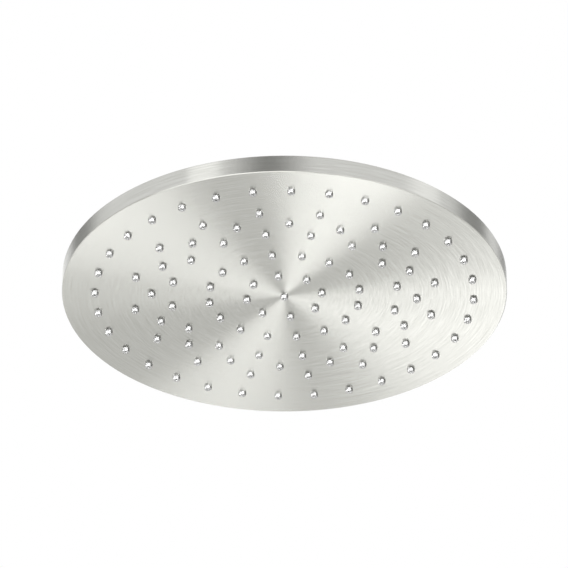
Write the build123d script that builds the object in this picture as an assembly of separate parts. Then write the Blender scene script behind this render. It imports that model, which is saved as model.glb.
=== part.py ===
"""Round rain shower head: a brushed steel disc with a silicone nozzle mat, on a ball joint with a G1/2 inlet.

Millimetres, +Z up. The origin is the middle of the inlet thread's mouth, and the head hangs below it.
"""
import os
from math import cos, radians, sin

from build123d import *

# Disc
DISC_R = 125.0
DISC_H = 10.7
SHEET = 1.0
EDGE = 0.4

# Nozzles, ring by ring from the middle: radius in pitches, number of nozzles, angle of the first one
NOZZLE_PITCH = 21.3
RING_PITCHES = [0, 1, 2, 3, 3.5, 4, 5]
RING_COUNTS = [1, 8, 16, 16, 16, 16, 32]
RING_ANGLES = [0, 33.75, 11.25, 11.25, 0, 11.25, 0]
NOZZLE_R = 2.25
NOZZLE_TAPER = 5.5
NOZZLE_REACH = 2.0
# Few sides, because there are over a hundred nozzles
NOZZLE_SIDES = 8
MAT_T = 1.8
MAT_GAP = 0.2

# Pressure plate over the mat
PLATE_T = 1.5
FEED_R = 1.6
POST_R = 3.0
POST_RING = 53.0
POST_COUNT = 8

# Inlet: G1/2 thread at its minor radius, with a pocket for the flow regulator below it
THREAD_R = 9.316
THREAD_H = 10.0
RELIEF_R = 10.5
THREAD_DEPTH = 12.4
COLLAR_R = 13.0
COLLAR_H = 20.0
COLLAR_EDGE = 0.8
FLATS = 23.0
FLATS_H = 9.0
WASHER_T = 2.0
WASHER_R = 9.2
WASHER_HOLE_R = 6.0
SCREEN_T = 0.4
POCKET_R = 7.6
POCKET_DEPTH = 5.5
REGULATOR_R = 7.3
REGULATOR_HOLE_R = 2.0
RING_GROOVE = 1.2
WATER_R = 3.5

# Ball joint: heights are from the ball's centre
BALL_R = 10.0
BALL_Z = -34.0
BALL_CUT = -8.2
NECK_R = 5.3
FIT = 0.1
SEAT_ANGLE = 55.0
SEAT_ABOVE = 1.2
SEAT_BELOW = 1.8
SEAT_R = 11.5
NUT_R = 16.5
NUT_TOP = 9.5
NUT_BOTTOM = -11.0
NUT_MOUTH_R = 7.9
NUT_FLARE_R = 8.6
NUT_EDGE = 1.0
NUT_FLATS = 30.0
NUT_FLATS_H = 9.0
STUB_R = 13.5
STUB_MOUTH_R = 8.0
STUB_BORE_R = 6.0
FLANGE_R = 18.0
FLANGE_TOP = -11.5
FLANGE_BOTTOM = -14.0
FLANGE_EDGE = 0.8
SPIGOT_R = 10.0
SPIGOT_REACH = 2.2

# Levels that follow from the sizes above
DISC_TOP = BALL_Z + FLANGE_BOTTOM
FACE = DISC_TOP - DISC_H
MAT_BOTTOM = FACE + SHEET
MAT_TOP = MAT_BOTTOM + MAT_T
PLATE_TOP = MAT_TOP + PLATE_T
COVER_UNDER = DISC_TOP - SHEET
PAN_INNER_R = DISC_R - SHEET
POCKET_FLOOR = -THREAD_DEPTH - POCKET_DEPTH

# The seats are cones that touch the ball at SEAT_ANGLE, with the fit's clearance
SEAT_TOUCH_R = (BALL_R + FIT) * sin(radians(SEAT_ANGLE))
SEAT_TOUCH_Z = (BALL_R + FIT) * cos(radians(SEAT_ANGLE))
SEAT_SLOPE_R = cos(radians(SEAT_ANGLE))
SEAT_SLOPE_Z = sin(radians(SEAT_ANGLE))
SEAT_TOP = SEAT_TOUCH_Z + SEAT_ABOVE * SEAT_SLOPE_Z
SEAT_FOOT = SEAT_TOUCH_Z - SEAT_BELOW * SEAT_SLOPE_Z
CUP_R = SEAT_R + FIT
CUP_END = SEAT_TOP + FIT

FROM_BELOW = (Align.CENTER, Align.CENTER, Align.MIN)


def turned(profile, base=0.0):
    """Solid turned about Z from a closed profile of (radius, height) points, heights measured from base."""
    with BuildPart() as part:
        with BuildSketch(Plane.XZ):
            with BuildLine():
                Polyline([(r, base + z) for r, z in profile], close=True)
            make_face()
        revolve(axis=Axis.Z)
    return part.part


def cut_flats(across, radius, bottom, height):
    """Cuts two wrench flats from the part in progress, up from a height."""
    for side in (-1, 1):
        with Locations((side * (across / 2 + radius), 0, bottom)):
            Box(2 * radius, 2 * radius, height, align=FROM_BELOW, mode=Mode.SUBTRACT)


def nozzle_field(radius):
    """Sketch of one nozzle section at every nozzle."""
    with BuildSketch() as field:
        for pitches, count, start in zip(RING_PITCHES, RING_COUNTS, RING_ANGLES):
            with PolarLocations(pitches * NOZZLE_PITCH, count, start):
                RegularPolygon(radius, NOZZLE_SIDES)
    return field.sketch


def swivel_ball():
    """Turned connector: threaded collar with two flats, neck and bored ball."""
    with BuildPart() as ball:
        with Locations((0, 0, BALL_Z)):
            Sphere(BALL_R)
        add(turned([
            (0, BALL_Z),
            (NECK_R, BALL_Z),
            (NECK_R, -COLLAR_H),
            (COLLAR_R - COLLAR_EDGE, -COLLAR_H),
            (COLLAR_R, -COLLAR_H + COLLAR_EDGE),
            (COLLAR_R, -COLLAR_EDGE),
            (COLLAR_R - COLLAR_EDGE, 0),
            (0, 0),
        ]))
        add(turned([
            (0, 0),
            (THREAD_R, 0),
            (THREAD_R, -THREAD_H),
            (RELIEF_R, -THREAD_H),
            (RELIEF_R, -THREAD_DEPTH),
            (POCKET_R, -THREAD_DEPTH),
            (POCKET_R, POCKET_FLOOR),
            (WATER_R, POCKET_FLOOR),
            (WATER_R, BALL_Z + BALL_CUT),
            (BALL_R, BALL_Z + BALL_CUT),
            (BALL_R, BALL_Z - BALL_R),
            (0, BALL_Z - BALL_R),
        ]), mode=Mode.SUBTRACT)
        cut_flats(FLATS, COLLAR_R, -COLLAR_H, FLATS_H)
    return ball.part


def filter_screen():
    """Screen on the shoulder under the thread."""
    return turned([
        (0, 0),
        (WASHER_R, 0),
        (WASHER_R, SCREEN_T),
        (0, SCREEN_T),
    ], base=-THREAD_DEPTH)


def inlet_washer():
    """Flat washer on the screen, squeezed by the shower arm."""
    return turned([
        (WASHER_HOLE_R, 0),
        (WASHER_R, 0),
        (WASHER_R, WASHER_T),
        (WASHER_HOLE_R, WASHER_T),
    ], base=SCREEN_T - THREAD_DEPTH)


def flow_regulator():
    """Insert in the pocket: stepped bore, and a groove for its rubber ring."""
    middle = POCKET_DEPTH / 2
    return turned([
        (REGULATOR_HOLE_R, 0),
        (REGULATOR_R, 0),
        (REGULATOR_R, middle - RING_GROOVE),
        (REGULATOR_R - RING_GROOVE, middle - RING_GROOVE),
        (REGULATOR_R - RING_GROOVE, middle + RING_GROOVE),
        (REGULATOR_R, middle + RING_GROOVE),
        (REGULATOR_R, POCKET_DEPTH),
        (2 * REGULATOR_HOLE_R, POCKET_DEPTH),
        (2 * REGULATOR_HOLE_R, middle),
        (REGULATOR_HOLE_R, middle),
    ], base=POCKET_FLOOR)


def regulator_ring():
    """Rubber ring in the regulator's groove, out to the pocket's wall."""
    return turned([
        (REGULATOR_R - RING_GROOVE, -RING_GROOVE),
        (POCKET_R, -RING_GROOVE),
        (POCKET_R, RING_GROOVE),
        (REGULATOR_R - RING_GROOVE, RING_GROOVE),
    ], base=POCKET_FLOOR + POCKET_DEPTH / 2)


def seat_profile(side):
    """Section of a ring with a conical seat for the ball, above its centre (side 1) or below it (side -1)."""
    return [
        (SEAT_TOUCH_R - SEAT_ABOVE * SEAT_SLOPE_R, side * SEAT_TOP),
        (SEAT_R, side * SEAT_TOP),
        (SEAT_R, side * SEAT_FOOT),
        (SEAT_TOUCH_R + SEAT_BELOW * SEAT_SLOPE_R, side * SEAT_FOOT),
    ]


def slip_ring():
    """Acetal ring between the nut's lip and the ball."""
    return turned(seat_profile(1), base=BALL_Z)


def ball_seal():
    """Rubber ring between the ball and the stub."""
    return turned(seat_profile(-1), base=BALL_Z)


def union_nut():
    """Nut over the ball, its lip on the slip ring and its thread on the stub."""
    with BuildPart() as nut:
        add(turned([
            (NUT_MOUTH_R, CUP_END),
            (NUT_FLARE_R, NUT_TOP),
            (NUT_R - NUT_EDGE, NUT_TOP),
            (NUT_R, NUT_TOP - NUT_EDGE),
            (NUT_R, NUT_BOTTOM),
            (STUB_R, NUT_BOTTOM),
            (STUB_R, 0),
            (CUP_R, 0),
            (CUP_R, CUP_END),
        ], base=BALL_Z))
        cut_flats(NUT_FLATS, NUT_R, BALL_Z + NUT_BOTTOM, NUT_FLATS_H)
    return nut.part


def inlet_stub():
    """Cup under the ball: thread outside, flange on the lid and spigot through it."""
    return turned([
        (CUP_R, 0),
        (STUB_R, 0),
        (STUB_R, FLANGE_TOP),
        (FLANGE_R - FLANGE_EDGE, FLANGE_TOP),
        (FLANGE_R, FLANGE_TOP - FLANGE_EDGE),
        (FLANGE_R, FLANGE_BOTTOM),
        (SPIGOT_R, FLANGE_BOTTOM),
        (SPIGOT_R, FLANGE_BOTTOM - SPIGOT_REACH),
        (STUB_BORE_R, FLANGE_BOTTOM - SPIGOT_REACH),
        (STUB_BORE_R, FLANGE_TOP),
        (STUB_MOUTH_R, FLANGE_TOP + STUB_MOUTH_R - STUB_BORE_R),
        (STUB_MOUTH_R, -CUP_END),
        (CUP_R, -CUP_END),
    ], base=BALL_Z)


def back_cover():
    """Drawn lid: flat back round the inlet, skirt pressed into the rim and down on the mat's edge."""
    return turned([
        (SPIGOT_R, DISC_TOP),
        (PAN_INNER_R, DISC_TOP),
        (PAN_INNER_R, MAT_TOP),
        (PAN_INNER_R - SHEET, MAT_TOP),
        (PAN_INNER_R - SHEET, COVER_UNDER),
        (SPIGOT_R, COVER_UNDER),
    ])


def face_pan():
    """Drawn pan: flat face, straight rim and a hole for every nozzle."""
    with BuildPart() as pan:
        add(turned([
            (0, FACE),
            (DISC_R - EDGE, FACE),
            (DISC_R, FACE + EDGE),
            (DISC_R, DISC_TOP - EDGE),
            (DISC_R - EDGE, DISC_TOP),
            (PAN_INNER_R, DISC_TOP),
            (PAN_INNER_R, MAT_BOTTOM),
            (0, MAT_BOTTOM),
        ]))
        with BuildSketch(Plane.XY.offset(FACE)):
            add(nozzle_field(NOZZLE_R))
        extrude(amount=SHEET, mode=Mode.SUBTRACT)
    return pan.part


def nozzle_mat():
    """Silicone sheet on the pan's floor, with a tapered nozzle out through every hole."""
    with BuildPart() as mat:
        with BuildSketch(Plane.XY.offset(MAT_BOTTOM)):
            Circle(PAN_INNER_R - MAT_GAP)
        extrude(amount=MAT_T)
        with BuildSketch(Plane.XY.offset(MAT_BOTTOM)):
            add(nozzle_field(NOZZLE_R))
        extrude(amount=-SHEET - NOZZLE_REACH, taper=NOZZLE_TAPER)
    return mat.part


def pressure_plate():
    """Moulded plate on the mat: a feed hole over each nozzle, and posts up to the lid that hold it down."""
    with BuildPart() as plate:
        with BuildSketch(Plane.XY.offset(MAT_TOP)):
            Circle(PAN_INNER_R - SHEET - MAT_GAP)
            add(nozzle_field(FEED_R), mode=Mode.SUBTRACT)
        extrude(amount=PLATE_T)
        with BuildSketch(Plane.XY.offset(PLATE_TOP)):
            with PolarLocations(POST_RING, POST_COUNT):
                Circle(POST_R)
        extrude(amount=COVER_UNDER - PLATE_TOP)
    return plate.part


NODES = [
    swivel_ball,
    filter_screen,
    inlet_washer,
    flow_regulator,
    regulator_ring,
    slip_ring,
    ball_seal,
    union_nut,
    inlet_stub,
    back_cover,
    face_pan,
    nozzle_mat,
    pressure_plate,
]

os.makedirs("parts", exist_ok=True)
for node in NODES:
    export_step(node(), f"parts/{node.__name__}.step")
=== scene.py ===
"""Round rain shower head in brushed steel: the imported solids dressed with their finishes, lit in a studio.

Metres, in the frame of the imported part: the inlet thread's mouth is the origin and the head hangs below it.
"""
from math import acos, asin, cos, pi, radians, sin

import bpy
from mathutils import Matrix, Vector


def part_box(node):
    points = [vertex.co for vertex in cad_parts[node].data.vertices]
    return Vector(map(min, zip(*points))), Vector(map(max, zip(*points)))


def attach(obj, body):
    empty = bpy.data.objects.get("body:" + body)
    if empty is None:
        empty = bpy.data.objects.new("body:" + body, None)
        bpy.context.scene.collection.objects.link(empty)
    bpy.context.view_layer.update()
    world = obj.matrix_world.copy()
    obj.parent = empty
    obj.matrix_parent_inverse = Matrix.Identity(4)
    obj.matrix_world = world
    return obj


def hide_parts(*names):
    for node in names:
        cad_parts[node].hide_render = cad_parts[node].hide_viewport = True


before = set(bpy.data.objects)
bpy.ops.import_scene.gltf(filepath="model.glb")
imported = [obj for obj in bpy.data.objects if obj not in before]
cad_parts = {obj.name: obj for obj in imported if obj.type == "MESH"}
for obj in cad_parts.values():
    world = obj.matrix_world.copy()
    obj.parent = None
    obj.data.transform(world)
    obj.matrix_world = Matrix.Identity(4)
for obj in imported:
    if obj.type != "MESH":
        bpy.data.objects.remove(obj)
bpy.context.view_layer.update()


# Connector: threaded collar with two wrench flats, neck and ball, with the water bore through them. Brass,
# turned in one piece, plated with nickel and brushed on the lathe. Its solid holds the thread as a plain
# wall, so the mesh here is turned again with the thread's true form cut in.
MM = 0.001


def linear(code):
    """Linear colour with alpha from an sRGB hex value."""
    channels = [int(code[i:i + 2], 16) / 255 for i in (1, 3, 5)]
    return [c / 12.92 if c <= 0.04045 else ((c + 0.055) / 1.055) ** 2.4 for c in channels] + [1.0]


def add_node(tree, kind, links=None, **settings):
    """Adds a node: settings are its properties, links gives inputs a socket to take or a value to hold."""
    node = tree.nodes.new(kind)
    for name, value in settings.items():
        setattr(node, name, value)
    for key, value in (links or {}).items():
        if isinstance(value, bpy.types.NodeSocket):
            tree.links.new(value, node.inputs[key])
        else:
            node.inputs[key].default_value = value
    return node


def new_material(name):
    """Material with its shader node, ready for more nodes."""
    material = bpy.data.materials.new(name)
    material.use_nodes = True
    return material, material.node_tree, material.node_tree.nodes["Principled BSDF"]


# A grain of noise stays mostly between these two values
GRAIN_LOW = 0.3
GRAIN_HIGH = 0.7


def show_grain(tree, shader, grain, light, dark, roughness, spread, relief, depth):
    """Lets a grain shape a surface: where it is high, the surface is lighter, shinier and stands up.

    spread is how far the roughness swings each way, and relief is the share of depth that the bump shows.
    """
    tone = add_node(tree, "ShaderNodeMapRange", {"Value": grain, "From Min": GRAIN_LOW,
                                                 "From Max": GRAIN_HIGH})
    colour = add_node(tree, "ShaderNodeMix", {"Factor": tone.outputs["Result"], "A": linear(dark),
                                              "B": linear(light)}, data_type="RGBA")
    matt = add_node(tree, "ShaderNodeMapRange", {"Value": grain, "From Min": GRAIN_LOW,
                                                 "From Max": GRAIN_HIGH, "To Min": roughness + spread,
                                                 "To Max": roughness - spread})
    bump = add_node(tree, "ShaderNodeBump", {"Height": grain, "Strength": relief, "Distance": depth})
    tree.links.new(colour.outputs["Result"], shader.inputs["Base Color"])
    tree.links.new(matt.outputs["Result"], shader.inputs["Roughness"])
    tree.links.new(bump.outputs["Normal"], shader.inputs["Normal"])


GROOVE_DEPTH = 0.02 * MM
GROOVE_RELIEF = 0.12
GROOVE_SPREAD = 0.02


def lathe_brushed(name, light, dark, roughness, groove_mm, arc_turns):
    """Metal brushed while it turns: grooves run round the Z axis, so highlights stretch across them.

    groove_mm is the width of the lines, drawn as coarse as the render needs to show them, and arc_turns
    sets how often a line changes along one turn.
    """
    material, tree, shader = new_material(name)
    place = add_node(tree, "ShaderNodeTexCoord").outputs["Object"]
    split = add_node(tree, "ShaderNodeSeparateXYZ", {"Vector": place}).outputs
    flat = add_node(tree, "ShaderNodeCombineXYZ", {"X": split["X"], "Y": split["Y"]}).outputs["Vector"]
    radius = add_node(tree, "ShaderNodeVectorMath", {0: flat}, operation="LENGTH").outputs["Value"]
    outward = add_node(tree, "ShaderNodeVectorMath", {0: flat}, operation="NORMALIZE").outputs["Vector"]
    along = add_node(tree, "ShaderNodeVectorMath", {0: (0, 0, 1), 1: outward}, operation="CROSS_PRODUCT")
    tangent = add_node(tree, "ShaderNodeVectorTransform", {"Vector": along.outputs["Vector"]},
                       vector_type="VECTOR", convert_from="OBJECT", convert_to="WORLD")

    # One coordinate across the grooves, radius on flats and height on walls, and a slow one round them
    across = add_node(tree, "ShaderNodeMath", {0: radius, 1: split["Z"]}, operation="ADD").outputs["Value"]
    across = add_node(tree, "ShaderNodeMath", {0: across, 1: 1 / (groove_mm * MM)}, operation="MULTIPLY")
    lift = add_node(tree, "ShaderNodeCombineXYZ", {"Z": across.outputs["Value"]}).outputs["Vector"]
    grain_place = add_node(tree, "ShaderNodeVectorMath", {0: outward, 1: (arc_turns,) * 3, 2: lift},
                           operation="MULTIPLY_ADD").outputs["Vector"]
    grain = add_node(tree, "ShaderNodeTexNoise", {"Vector": grain_place, "Scale": 1.0, "Detail": 3.0,
                                                  "Roughness": 0.65}).outputs["Fac"]
    show_grain(tree, shader, grain, light, dark, roughness, GROOVE_SPREAD, GROOVE_RELIEF, GROOVE_DEPTH)

    # A quarter turn sets the stretch across the grooves
    tree.links.new(tangent.outputs["Vector"], shader.inputs["Tangent"])
    shader.inputs["Metallic"].default_value = 1.0
    shader.inputs["Anisotropic"].default_value = 0.95
    shader.inputs["Anisotropic Rotation"].default_value = 0.25
    return material


def place_object(name, data):
    """Object at the origin that holds a mesh, a lamp or a camera."""
    thing = bpy.data.objects.new(name, data)
    bpy.context.scene.collection.objects.link(thing)
    return thing


def mesh_object(name, points, faces, material):
    """Mesh object of given points and faces."""
    mesh = bpy.data.meshes.new(name)
    mesh.from_pydata(points, [], faces)
    mesh.materials.append(material)
    return place_object(name, mesh)


# Nickel is a little warmer than steel, and a lathe leaves its lines closer than a brush does
brushed_nickel = lathe_brushed("brushed nickel on turned brass", "#c9c7c0", "#b4b2ab", roughness=0.3,
                               groove_mm=0.35, arc_turns=4.0)

COLLAR_R = 13.0 * MM
COLLAR_H = 20.0 * MM
COLLAR_EDGE = 0.8 * MM
FLATS = 23.0 * MM
FLATS_H = 9.0 * MM
NECK_R = 5.3 * MM
BALL_R = 10.0 * MM
BALL_Z = -34.0 * MM
BALL_CUT = -8.2 * MM
WATER_R = 3.5 * MM
POCKET_R = 7.6 * MM
SHOULDER_Z = -12.4 * MM
POCKET_FLOOR = -17.9 * MM
RELIEF_R = 10.5 * MM
THREAD_R = 9.316 * MM
THREAD_H = 10.0 * MM
THREAD_PITCH = 1.814 * MM
THREAD_RISE = 1.162 * MM
THREAD_ROWS = 44
BALL_ROWS = 20
TURN_STEPS = 96
CONNECTOR_EDGE = radians(35)

# Share of half a pitch that is flat at the thread's crest, and again at its root
THREAD_FLAT = 1 / 6


def connector_point(shape, radius, height, angle):
    """Point of the connector's surface: round, cut by the flats, or cut by the thread."""
    if shape == "thread":
        turns = (height / THREAD_PITCH - angle / (2 * pi)) % 1
        flank = (abs(2 * turns - 1) - THREAD_FLAT) / (1 - 2 * THREAD_FLAT)
        radius += THREAD_RISE * min(max(flank, 0), 1)
    x, y = radius * cos(angle), radius * sin(angle)
    if shape == "flats":
        x = min(max(x, -FLATS / 2), FLATS / 2)
    return x, y, height


neck_angle = asin(NECK_R / BALL_R)
mouth_angle = acos(BALL_CUT / BALL_R)
ball_angles = [neck_angle + (mouth_angle - neck_angle) * i / BALL_ROWS for i in range(BALL_ROWS + 1)]
rows = [
    ("round", COLLAR_R - COLLAR_EDGE, 0),
    ("round", COLLAR_R, -COLLAR_EDGE),
    ("round", COLLAR_R, FLATS_H - COLLAR_H),
    ("flats", COLLAR_R, FLATS_H - COLLAR_H),
    ("flats", COLLAR_R, COLLAR_EDGE - COLLAR_H),
    ("flats", COLLAR_R - COLLAR_EDGE, -COLLAR_H),
    ("round", NECK_R, -COLLAR_H),
    *[("round", BALL_R * sin(a), BALL_Z + BALL_R * cos(a)) for a in ball_angles],
    ("round", WATER_R, BALL_Z + BALL_CUT),
    ("round", WATER_R, POCKET_FLOOR),
    ("round", POCKET_R, POCKET_FLOOR),
    ("round", POCKET_R, SHOULDER_Z),
    ("round", RELIEF_R, SHOULDER_Z),
    ("round", RELIEF_R, -THREAD_H),
    *[("thread", THREAD_R, -THREAD_H * (1 - i / THREAD_ROWS)) for i in range(THREAD_ROWS + 1)],
]
points = [connector_point(*row, 2 * pi * step / TURN_STEPS) for row in rows for step in range(TURN_STEPS)]
faces = []
for row in range(len(rows)):
    here, below = row * TURN_STEPS, (row + 1) % len(rows) * TURN_STEPS
    for step in range(TURN_STEPS):
        after = (step + 1) % TURN_STEPS
        faces.append((here + step, below + step, below + after, here + after))
connector = mesh_object("threaded_ball_connector", points, faces, brushed_nickel)
connector.data.shade_smooth()
connector.data.set_sharp_from_angle(angle=CONNECTOR_EDGE)
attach(connector, "swivel")
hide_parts("swivel_ball")


# Filter screen: a disc of woven steel wire on the shoulder under the thread, which keeps grit out of the
# nozzles. Plain weave, stamped out, and held down by the washer.
SKIN_RELIEF = 0.5
SKIN_SPREAD = 0.05


def grained(name, light, dark, roughness, grain_mm, rise_mm):
    """Material with a fine even grain, grain_mm wide and rise_mm high, that shifts its tone and gloss."""
    material, tree, shader = new_material(name)
    place = add_node(tree, "ShaderNodeTexCoord").outputs["Object"]
    grain = add_node(tree, "ShaderNodeTexNoise", {"Vector": place, "Scale": 1 / (grain_mm * MM),
                                                  "Detail": 3.0}).outputs["Fac"]
    show_grain(tree, shader, grain, light, dark, roughness, SKIN_SPREAD, SKIN_RELIEF, rise_mm * MM)
    return material, shader


def new_growth(name, sizes, material):
    """Node tree that grows a piece: its sizes are named inputs, and its last input is its material."""
    tree = bpy.data.node_groups.new(name, "GeometryNodeTree")
    tree.interface.new_socket("Geometry", in_out="OUTPUT", socket_type="NodeSocketGeometry")
    for key, value in sizes.items():
        kind = "NodeSocketInt" if isinstance(value, int) else "NodeSocketFloat"
        tree.interface.new_socket(key, in_out="INPUT", socket_type=kind).default_value = value
    finish = tree.interface.new_socket("Material", in_out="INPUT", socket_type="NodeSocketMaterial")
    finish.default_value = material
    return tree, add_node(tree, "NodeGroupInput").outputs


def grown(name, tree, sizes, material):
    """Plain mesh object grown by a node tree."""
    seed = place_object(name + "_seed", bpy.data.meshes.new(name + "_seed"))
    growth = seed.modifiers.new("growth", "NODES")
    growth.node_group = tree
    inputs = {item.name: item.identifier for item in tree.interface.items_tree if item.in_out == "INPUT"}
    for key, value in sizes.items():
        growth[inputs[key]] = value
    growth[inputs["Material"]] = material
    mesh = bpy.data.meshes.new_from_object(seed.evaluated_get(bpy.context.evaluated_depsgraph_get()))
    seed.modifiers.remove(growth)
    bpy.data.objects.remove(seed)
    return place_object(name, mesh)


# Drawn wire: bright steel with a soft, slightly uneven gloss
screen_wire, shader = grained("drawn stainless steel wire", "#b9b9b6", "#9a9a97", roughness=0.32,
                              grain_mm=0.3, rise_mm=0.004)
shader.inputs["Metallic"].default_value = 1.0

WIRE_R = 0.1 * MM
WIRE_PITCH = 0.6 * MM
WIRE_SIDES = 4
POINTS_PER_PITCH = 4
SCREEN_LOW, SCREEN_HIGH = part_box("filter_screen")
SCREEN_R = SCREEN_HIGH.x
HALF_WIRES = int(SCREEN_R / WIRE_PITCH)
weave_sizes = {
    "Pitch": WIRE_PITCH,
    "Wire radius": WIRE_R,
    "Wires": 2 * HALF_WIRES + 1,
    "Points": 2 * HALF_WIRES * POINTS_PER_PITCH + 1,
    "Edge": -HALF_WIRES * WIRE_PITCH,
    "Span": 2 * HALF_WIRES * WIRE_PITCH,
    "Screen radius": SCREEN_R - WIRE_R,
    "Level": (SCREEN_LOW.z + SCREEN_HIGH.z) / 2,
}
weave, size = new_growth("filter weave", weave_sizes, screen_wire)
corner = add_node(weave, "ShaderNodeCombineXYZ", {"X": size["Edge"], "Y": size["Edge"]}).outputs["Vector"]
wire = add_node(weave, "GeometryNodeCurvePrimitiveLine", {"Start": corner, "Direction": (1, 0, 0),
                                                          "Length": size["Span"]}, mode="DIRECTION")
wire = add_node(weave, "GeometryNodeResampleCurve", {"Curve": wire.outputs["Curve"],
                                                     "Count": size["Points"]})
stride = add_node(weave, "ShaderNodeCombineXYZ", {"Y": size["Pitch"]}).outputs["Vector"]
starts = add_node(weave, "GeometryNodeMeshLine", {"Count": size["Wires"], "Offset": stride})
wires = add_node(weave, "GeometryNodeInstanceOnPoints", {"Points": starts.outputs["Mesh"],
                                                         "Instance": wire.outputs["Curve"]})
wires = add_node(weave, "GeometryNodeRealizeInstances", {"Geometry": wires.outputs["Instances"]})

# Each wire goes over one cross wire and under the next
place = add_node(weave, "GeometryNodeInputPosition").outputs["Position"]
split = add_node(weave, "ShaderNodeSeparateXYZ", {"Vector": place}).outputs
wave = size["Wire radius"]
for axis in ("X", "Y"):
    crossings = add_node(weave, "ShaderNodeMath", {0: split[axis], 1: size["Pitch"]}, operation="DIVIDE")
    angle = add_node(weave, "ShaderNodeMath", {0: crossings.outputs["Value"], 1: pi}, operation="MULTIPLY")
    swing = add_node(weave, "ShaderNodeMath", {0: angle.outputs["Value"]}, operation="COSINE")
    wave = add_node(weave, "ShaderNodeMath", {0: wave, 1: swing.outputs["Value"]},
                    operation="MULTIPLY").outputs["Value"]
lift = add_node(weave, "ShaderNodeCombineXYZ", {"Z": wave}).outputs["Vector"]
wires = add_node(weave, "GeometryNodeSetPosition", {"Geometry": wires.outputs["Geometry"], "Offset": lift})
reach = add_node(weave, "ShaderNodeVectorMath", {0: place}, operation="LENGTH").outputs["Value"]
outside = add_node(weave, "FunctionNodeCompare", {"A": reach, "B": size["Screen radius"]},
                   operation="GREATER_THAN").outputs["Result"]
wires = add_node(weave, "GeometryNodeDeleteGeometry", {"Geometry": wires.outputs["Geometry"],
                                                       "Selection": outside}, domain="POINT")
section = add_node(weave, "GeometryNodeCurvePrimitiveCircle", {"Resolution": WIRE_SIDES,
                                                               "Radius": size["Wire radius"]})
warp = add_node(weave, "GeometryNodeCurveToMesh", {"Curve": wires.outputs["Geometry"],
                                                   "Profile Curve": section.outputs["Curve"],
                                                   "Fill Caps": True}).outputs["Mesh"]
weft = add_node(weave, "GeometryNodeTransform", {"Geometry": warp, "Rotation": (pi, 0, pi / 2)})
cloth = add_node(weave, "GeometryNodeJoinGeometry")
weave.links.new(warp, cloth.inputs["Geometry"])
weave.links.new(weft.outputs["Geometry"], cloth.inputs["Geometry"])
level = add_node(weave, "ShaderNodeCombineXYZ", {"Z": size["Level"]}).outputs["Vector"]
cloth = add_node(weave, "GeometryNodeTransform", {"Geometry": cloth.outputs["Geometry"],
                                                  "Translation": level})
cloth = add_node(weave, "GeometryNodeRealizeInstances", {"Geometry": cloth.outputs["Geometry"]})
cloth = add_node(weave, "GeometryNodeSetShadeSmooth", {"Geometry": cloth.outputs["Geometry"]})
cloth = add_node(weave, "GeometryNodeSetMaterial", {"Geometry": cloth.outputs["Geometry"],
                                                    "Material": size["Material"]})
add_node(weave, "NodeGroupOutput", {"Geometry": cloth.outputs["Geometry"]})
screen = grown("woven_filter_screen", weave, weave_sizes, screen_wire)
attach(screen, "swivel")
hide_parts("filter_screen")


# Rubber seals: the washer that the shower arm squeezes on the screen, the ring round the flow regulator and
# the ring under the ball. Black rubber, moulded, with a dull skin from the mould's fine blasting.
def finish_node(node, material):
    """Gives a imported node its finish."""
    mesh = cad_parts[node].data
    mesh.materials.clear()
    mesh.materials.append(material)


black_rubber, _ = grained("moulded black rubber", "#2b2b2b", "#1d1d1d", roughness=0.6, grain_mm=0.25,
                          rise_mm=0.02)
for seal in ("inlet_washer", "regulator_ring", "ball_seal"):
    finish_node(seal, black_rubber)

# Flow regulator in the connector's pocket and pressure plate over the nozzle mat. Grey plastic, injection
# moulded, with a satin skin that a fine spark finish in the mould leaves.
grey_plastic, _ = grained("moulded grey plastic", "#c9cbcd", "#bcbec0", roughness=0.42, grain_mm=0.35,
                          rise_mm=0.01)
for moulding in ("flow_regulator", "pressure_plate"):
    finish_node(moulding, grey_plastic)

# Slip ring, on which the ball turns and tilts under the nut. Acetal, turned from bar: off-white, and waxy to
# the eye, because light spreads a little way into it.
acetal, shader = grained("turned acetal", "#e8e7e1", "#dddcd5", roughness=0.3, grain_mm=0.4,
                         rise_mm=0.006)
shader.inputs["Subsurface Weight"].default_value = 0.15
shader.inputs["Subsurface Scale"].default_value = 1.0 * MM
finish_node("slip_ring", acetal)

# Union nut: screwed on the stub over the ball, with two flats for a wrench. Turned brass with the same
# plate and brushing as the connector.
finish_node("union_nut", brushed_nickel)

# Inlet stub: the cup under the ball, welded into the lid by its flange. Stainless steel, left as turned,
# with finer lines and a softer shine than the brushed sheet.
turned_steel = lathe_brushed("turned stainless steel", "#c2c2be", "#aeaeaa", roughness=0.3, groove_mm=0.4,
                             arc_turns=3.0)
finish_node("inlet_stub", turned_steel)

# Lid: drawn from stainless sheet and pressed into the rim. Brushed on a turntable, so rings run round the
# inlet and the light fans out from it.
back_steel = lathe_brushed("brushed stainless steel lid", "#ccccc7", "#c3c3be", roughness=0.24,
                           groove_mm=0.5, arc_turns=2.0)
finish_node("back_cover", back_steel)

# Face pan: the spray face and the straight rim, drawn from stainless sheet and punched for the nozzles. The
# same brushing: fine rings on the face, with fans of light, and long level lines on the rim.
face_steel = lathe_brushed("turntable brushed stainless steel", "#d1d1cd", "#c5c5c0", roughness=0.2225,
                           groove_mm=0.8, arc_turns=5.0)
finish_node("face_pan", face_steel)

# Nozzle mat: one silicone sheet behind the face with a soft nozzle out through every hole. Moulded in one
# piece, held down by the pressure plate, and rubbed clean of lime with a thumb.

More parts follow.
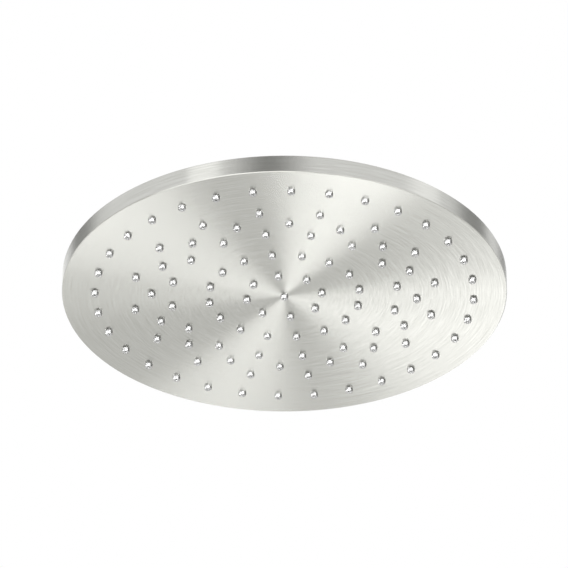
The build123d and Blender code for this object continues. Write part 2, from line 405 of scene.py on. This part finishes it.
# Rings of nozzles: radius in pitches, count, and the first one's angle in degrees
RINGS = [(0, 1, 0), (1, 8, 33.75), (2, 16, 11.25), (3, 16, 11.25), (3.5, 16, 0), (4, 16, 11.25), (5, 32, 0)]
FACE_WALL = 1.0 * MM
FACE_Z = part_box("face_pan")[0].z
MAT_LOW, MAT_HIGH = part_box("nozzle_mat")
TIP_Z = MAT_LOW.z
NOZZLE_REACH = FACE_Z - TIP_Z
SHEET_BOTTOM = FACE_Z + FACE_WALL
SHEET_SIDES = 96
JOIN_WITHIN = 0.001 * MM
SOFT_BEND = radians(40)

# Silicone: grey, with faint clouds about half as wide as a nozzle. Light spreads a little way into it, and
# a smooth mould leaves its skin half glossy.
silicone, shader = grained("moulded silicone", "#8e8e8c", "#828280", roughness=0.3, grain_mm=2.5,
                           rise_mm=0.002)
shader.inputs["IOR"].default_value = 1.41
shader.inputs["Specular IOR Level"].default_value = 0.85
shader.inputs["Subsurface Weight"].default_value = 0.3
shader.inputs["Subsurface Radius"].default_value = (1.0, 1.0, 1.0)
shader.inputs["Subsurface Scale"].default_value = 0.8 * MM

# Radius of each round of a nozzle, and its height above the tip. The lip lies just proud of the face round
# the hole, and the foot is sunk in the sheet.
LIP_PROUD = 0.02 * MM
LIP_EDGE = 0.05 * MM
FOOT_SUNK = 0.2 * MM
NOZZLE_ROUNDS = {
    "Outlet end": (0.35 * MM, 0.9 * MM),
    "Outlet": (0.7 * MM, 0.0),
    "Tip": (1.86 * MM, 0.0),
    "Shoulder": (2.02 * MM, 0.22 * MM),
    "Root": (2.25 * MM, NOZZLE_REACH - LIP_PROUD - LIP_EDGE),
    "Lip": (2.27 * MM, NOZZLE_REACH - LIP_PROUD),
    "Foot": (2.27 * MM, NOZZLE_REACH + FACE_WALL + FOOT_SUNK),
}
mat_sizes = {
    "Pitch": 21.3 * MM,
    "Sides": 14,
    "Tip level": TIP_Z,
    "Sheet radius": MAT_HIGH.x,
    "Sheet thickness": MAT_HIGH.z - SHEET_BOTTOM,
    "Sheet middle": (MAT_HIGH.z + SHEET_BOTTOM) / 2,
}
for name, (radius, height) in NOZZLE_ROUNDS.items():
    mat_sizes[name + " radius"] = radius
    mat_sizes[name + " height"] = height
mat_tree, size = new_growth("nozzle mat", mat_sizes, silicone)

# Walls of one nozzle from each round to the next higher one, and the two ends that close it
nozzle = add_node(mat_tree, "GeometryNodeJoinGeometry")
for low, high in (("Outlet", "Outlet end"), ("Outlet", "Tip"), ("Tip", "Shoulder"), ("Shoulder", "Root"),
                  ("Root", "Lip"), ("Lip", "Foot"), ("Outlet end", None), ("Foot", None)):
    if high:
        rise = add_node(mat_tree, "ShaderNodeMath", {0: size[high + " height"], 1: size[low + " height"]},
                        operation="SUBTRACT").outputs["Value"]
        wall = add_node(mat_tree, "GeometryNodeMeshCone", {"Vertices": size["Sides"], "Depth": rise,
                                                           "Radius Bottom": size[low + " radius"],
                                                           "Radius Top": size[high + " radius"]},
                        fill_type="NONE")
    else:
        wall = add_node(mat_tree, "GeometryNodeMeshCircle", {"Vertices": size["Sides"],
                                                             "Radius": size[low + " radius"]},
                        fill_type="NGON")
    if "Outlet end" in (low, high):
        wall = add_node(mat_tree, "GeometryNodeFlipFaces", {"Mesh": wall.outputs["Mesh"]})
    lift = add_node(mat_tree, "ShaderNodeCombineXYZ", {"Z": size[low + " height"]}).outputs["Vector"]
    wall = add_node(mat_tree, "GeometryNodeTransform", {"Geometry": wall.outputs["Mesh"],
                                                        "Translation": lift})
    mat_tree.links.new(wall.outputs["Geometry"], nozzle.inputs["Geometry"])
nozzle = add_node(mat_tree, "GeometryNodeMergeByDistance", {"Geometry": nozzle.outputs["Geometry"],
                                                            "Distance": JOIN_WITHIN})

# Rings of nozzles, then the sheet that carries them
field = add_node(mat_tree, "GeometryNodeJoinGeometry")
for pitches, count, start in RINGS:
    if count == 1:
        ring = add_node(mat_tree, "GeometryNodeMeshLine", {"Count": 1})
    else:
        ring_r = add_node(mat_tree, "ShaderNodeMath", {0: size["Pitch"], 1: pitches}, operation="MULTIPLY")
        ring = add_node(mat_tree, "GeometryNodeMeshCircle", {"Vertices": count,
                                                             "Radius": ring_r.outputs["Value"]})
    ring = add_node(mat_tree, "GeometryNodeTransform", {"Geometry": ring.outputs["Mesh"],
                                                        "Rotation": (0, 0, radians(start))})
    mat_tree.links.new(ring.outputs["Geometry"], field.inputs["Geometry"])
lift = add_node(mat_tree, "ShaderNodeCombineXYZ", {"Z": size["Tip level"]}).outputs["Vector"]
field = add_node(mat_tree, "GeometryNodeTransform", {"Geometry": field.outputs["Geometry"],
                                                     "Translation": lift})
nozzles = add_node(mat_tree, "GeometryNodeInstanceOnPoints", {"Points": field.outputs["Geometry"],
                                                              "Instance": nozzle.outputs["Geometry"]})
sheet = add_node(mat_tree, "GeometryNodeMeshCylinder", {"Vertices": SHEET_SIDES,
                                                        "Radius": size["Sheet radius"],
                                                        "Depth": size["Sheet thickness"]})
lift = add_node(mat_tree, "ShaderNodeCombineXYZ", {"Z": size["Sheet middle"]}).outputs["Vector"]
sheet = add_node(mat_tree, "GeometryNodeTransform", {"Geometry": sheet.outputs["Mesh"],
                                                     "Translation": lift})
whole = add_node(mat_tree, "GeometryNodeJoinGeometry")
mat_tree.links.new(nozzles.outputs["Instances"], whole.inputs["Geometry"])
mat_tree.links.new(sheet.outputs["Geometry"], whole.inputs["Geometry"])
whole = add_node(mat_tree, "GeometryNodeRealizeInstances", {"Geometry": whole.outputs["Geometry"]})
bend = add_node(mat_tree, "GeometryNodeInputMeshEdgeAngle").outputs["Unsigned Angle"]
soft = add_node(mat_tree, "FunctionNodeCompare", {"A": bend, "B": SOFT_BEND}, operation="LESS_THAN")
whole = add_node(mat_tree, "GeometryNodeSetShadeSmooth", {"Geometry": whole.outputs["Geometry"]},
                 domain="FACE")
whole = add_node(mat_tree, "GeometryNodeSetShadeSmooth", {"Geometry": whole.outputs["Geometry"],
                                                          "Shade Smooth": soft.outputs["Result"]},
                 domain="EDGE")
whole = add_node(mat_tree, "GeometryNodeSetMaterial", {"Geometry": whole.outputs["Geometry"],
                                                       "Material": size["Material"]})
add_node(mat_tree, "NodeGroupOutput", {"Geometry": whole.outputs["Geometry"]})
mat = grown("silicone_nozzle_mat", mat_tree, mat_sizes, silicone)
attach(mat, "head")
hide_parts("nozzle_mat")

# Studio: a pale floor far under the head and a white room, so the disc hangs free on white and the metal
# mirrors that white too.
FLOOR_Z = -4.0
FLOOR_HALF = 20.0
PAPER = linear("#e5e5e3")
WHITE = linear("#ffffff")


def plain_to_eye(tree, kind, colour, other):
    """Socket of a shader that is plainly coloured to the camera and in reflections, and other elsewhere."""
    path = add_node(tree, "ShaderNodeLightPath").outputs
    seen = path["Is Camera Ray"]
    for ray in ("Is Glossy Ray", "Is Transmission Ray"):
        seen = add_node(tree, "ShaderNodeMath", {0: seen, 1: path[ray]},
                        operation="MAXIMUM").outputs["Value"]
    plain = add_node(tree, kind, {"Color": colour, "Strength": 1.0})
    mix = add_node(tree, "ShaderNodeMixShader", {0: seen, 1: other, 2: plain.outputs[0]})
    return mix.outputs["Shader"]


paper, tree, shader = new_material("white paper floor")
shader.inputs["Base Color"].default_value = PAPER
shader.inputs["Roughness"].default_value = 0.9
tree.links.new(plain_to_eye(tree, "ShaderNodeEmission", PAPER, shader.outputs["BSDF"]),
               tree.nodes["Material Output"].inputs["Surface"])
corners = [(x * FLOOR_HALF, y * FLOOR_HALF, FLOOR_Z) for x, y in ((-1, -1), (1, -1), (1, 1), (-1, 1))]
floor = mesh_object("floor", corners, [(0, 1, 2, 3)], paper)

room = bpy.data.worlds.new("white room")
room.use_nodes = True
bpy.context.scene.world = room
tree = room.node_tree
glow = tree.nodes["Background"]
glow.inputs["Color"].default_value = WHITE
glow.inputs["Strength"].default_value = 0.6
tree.links.new(plain_to_eye(tree, "ShaderNodeBackground", WHITE, glow.outputs["Background"]),
               tree.nodes["World Output"].inputs["Surface"])

# Camera: below and in front of the head, looking up, with a long lens as in a catalogue picture. It stands
# a little high and to the left of the line through the middle of the face.
FACE_CENTRE = Vector((0, 0, FACE_Z))
LOOK_UP = radians(32.78)
CAMERA_TURN = radians(-1.955)
CAMERA_FAR = 2.8751
CAMERA_RISE = 6.77 * MM
CAMERA_LEFT = 0.25 * MM
camera = bpy.data.cameras.new("camera")
camera.lens = 324.3
camera.sensor_width = 36
camera.clip_end = 100
turn = Matrix.Rotation(CAMERA_TURN, 3, "Z")
ahead = turn @ Vector((0, cos(LOOK_UP), sin(LOOK_UP)))
above = turn @ Vector((0, -sin(LOOK_UP), cos(LOOK_UP)))
left = above.cross(ahead)
camera_object = place_object("camera", camera)
camera_object.location = FACE_CENTRE - CAMERA_FAR * ahead + CAMERA_RISE * above + CAMERA_LEFT * left
camera_object.rotation_euler = ahead.to_track_quat("-Z", "Y").to_euler()
bpy.context.scene.camera = camera_object


# Lamps and flags, aimed at the head and hidden from the camera. Each has its azimuth from the right towards
# the back and its elevation in degrees, its width and height, and the lamps their brightness.
LAMP_FAR = 2.0


def stand(thing, azimuth, elevation):
    """Puts a lamp or flag on its stand, facing the head."""
    a, e = radians(azimuth) + CAMERA_TURN, radians(elevation)
    toward = Vector((cos(a) * cos(e), sin(a) * cos(e), sin(e)))
    facing = (-toward).to_track_quat("-Z", "Y")
    thing.matrix_world = Matrix.LocRotScale(FACE_CENTRE + LAMP_FAR * toward, facing, None)
    thing.visible_camera = False


# Oval soft boxes give the metal its fans of light, and straight strips put a shine on the nozzles alone
nozzles_only = bpy.data.collections.new("lit by the strips")
nozzles_only.objects.link(mat)
for name, azimuth, elevation, width, height, brightness, receivers in (
    ("box_under", 44, -71, 1.26, 0.865, 11.4, None),
    ("box_far_left", 123, -46, 0.89, 1.15, 4.2, None),
    ("box_far_right", 80, -30, 0.52, 0.31, 1.5, None),
    ("box_rim_left", 229, 33, 0.5, 1.2, 0.55, None),
    ("box_rim_right", 345, 33, 0.5, 1.2, 0.4, None),
    ("box_rim_back", 97, 33, 0.8, 1.2, 0.5, None),
    ("box_edge", 238, -53, 2.4, 0.7, 1.4, None),
    ("strip_left", 184, -17, 3.9, 1.3, 32, nozzles_only),
    ("strip_right", 281, -17, 3.9, 1.3, 32, nozzles_only),
    ("strip_tips", 90, -33, 1.1, 1.1, 4, nozzles_only),
):
    lamp = bpy.data.lights.new(name, "AREA")
    lamp.shape = "RECTANGLE" if receivers else "ELLIPSE"
    lamp.size = width
    lamp.size_y = height
    area = width * height * (1 if receivers else pi / 4)
    lamp.energy = brightness * pi * area
    box = place_object(name, lamp)
    box.visible_diffuse = False
    box.light_linking.receiver_collection = receivers
    stand(box, azimuth, elevation)

# Grey cloth whose two sides thin out over a stretch, fade, so that its picture in the rim is soft
FLAG_ELEVATION = 33
FLAG_FOOT, FLAG_TOP = -1.0, 1.6
for name, azimuth, width, fade in (("flag_left", 144, 0.85, 0.0425), ("flag_front", 262, 1.6, 0.8),
                                   ("flag_right", 21, 0.8, 0.04), ("flag_back", 60, 0.5, 0.025)):
    cloth, tree, shader = new_material("grey cloth of " + name)
    shader.inputs["Base Color"].default_value = linear("#d0d0d0")
    shader.inputs["Roughness"].default_value = 0.9
    half = width / 2
    place = add_node(tree, "ShaderNodeTexCoord").outputs["Object"]
    aside = add_node(tree, "ShaderNodeSeparateXYZ", {"Vector": place}).outputs["X"]
    aside = add_node(tree, "ShaderNodeMath", {0: aside}, operation="ABSOLUTE").outputs["Value"]
    cover = add_node(tree, "ShaderNodeMapRange", {"Value": aside, "From Min": half, "From Max": half - fade},
                     interpolation_type="SMOOTHSTEP").outputs["Result"]
    tree.links.new(cover, shader.inputs["Alpha"])
    corners = [(-half, FLAG_FOOT, 0), (half, FLAG_FOOT, 0), (half, FLAG_TOP, 0), (-half, FLAG_TOP, 0)]
    flag = mesh_object(name, corners, [(0, 1, 2, 3)], cloth)
    stand(flag, azimuth, FLAG_ELEVATION)

bpy.context.scene.view_settings.view_transform = "Standard"
